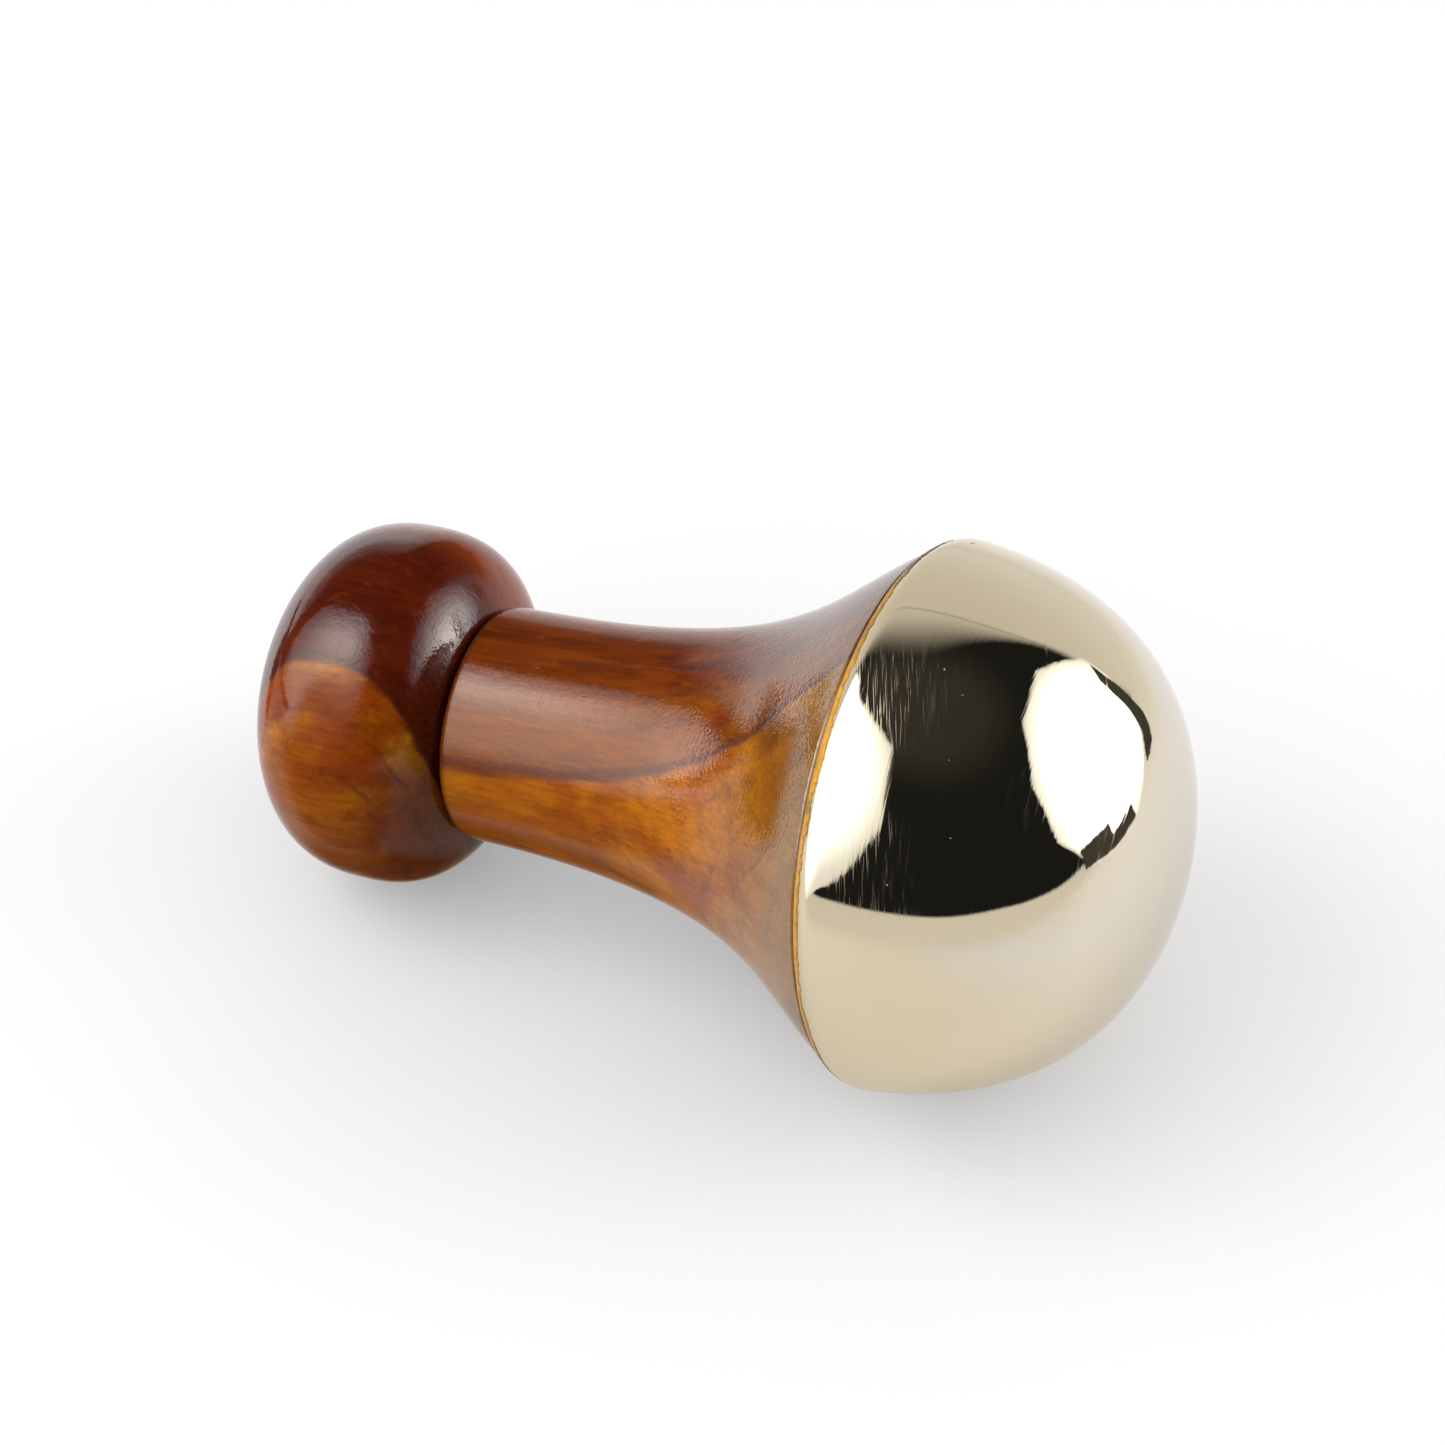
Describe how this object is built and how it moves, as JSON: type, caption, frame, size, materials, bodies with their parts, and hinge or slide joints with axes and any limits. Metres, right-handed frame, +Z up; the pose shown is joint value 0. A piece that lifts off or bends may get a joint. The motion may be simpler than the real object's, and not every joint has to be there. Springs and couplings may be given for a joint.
{
  "type": "domed massage wand",
  "caption": "Hand-held massage wand: a turned hardwood grip with a ball pommel that flares into a polished bell-metal dome, bonded on with an amber lac bead.",
  "frame": {"origin": "on the level surface the wand lies on, under the centre of its bounding box", "axes": "+Z up; +X from the ball pommel towards the dome; the wand lies on its pommel and its dome, so its axis is in the XZ plane and climbs 8.7 degrees towards the dome"},
  "size_m": [0.123, 0.0702, 0.0696],
  "materials": {
    "bell_metal": "mirror-polished pale bronze with fine polishing scratches",
    "hardwood": "red-brown stained hardwood under glossy lacquer",
    "hardwood_ball": "darker red-brown stained hardwood under glossy lacquer",
    "amber_lac": "glossy amber lac",
    "bedding_lac": "dull dark lac"
  },
  "bodies": {
    "root": {"bronze_dome": "bell_metal", "dome_bedding": "bedding_lac", "rim_lac_bead": "amber_lac", "handle": "hardwood", "pommel": "hardwood_ball"}
  },
  "joints": []
}
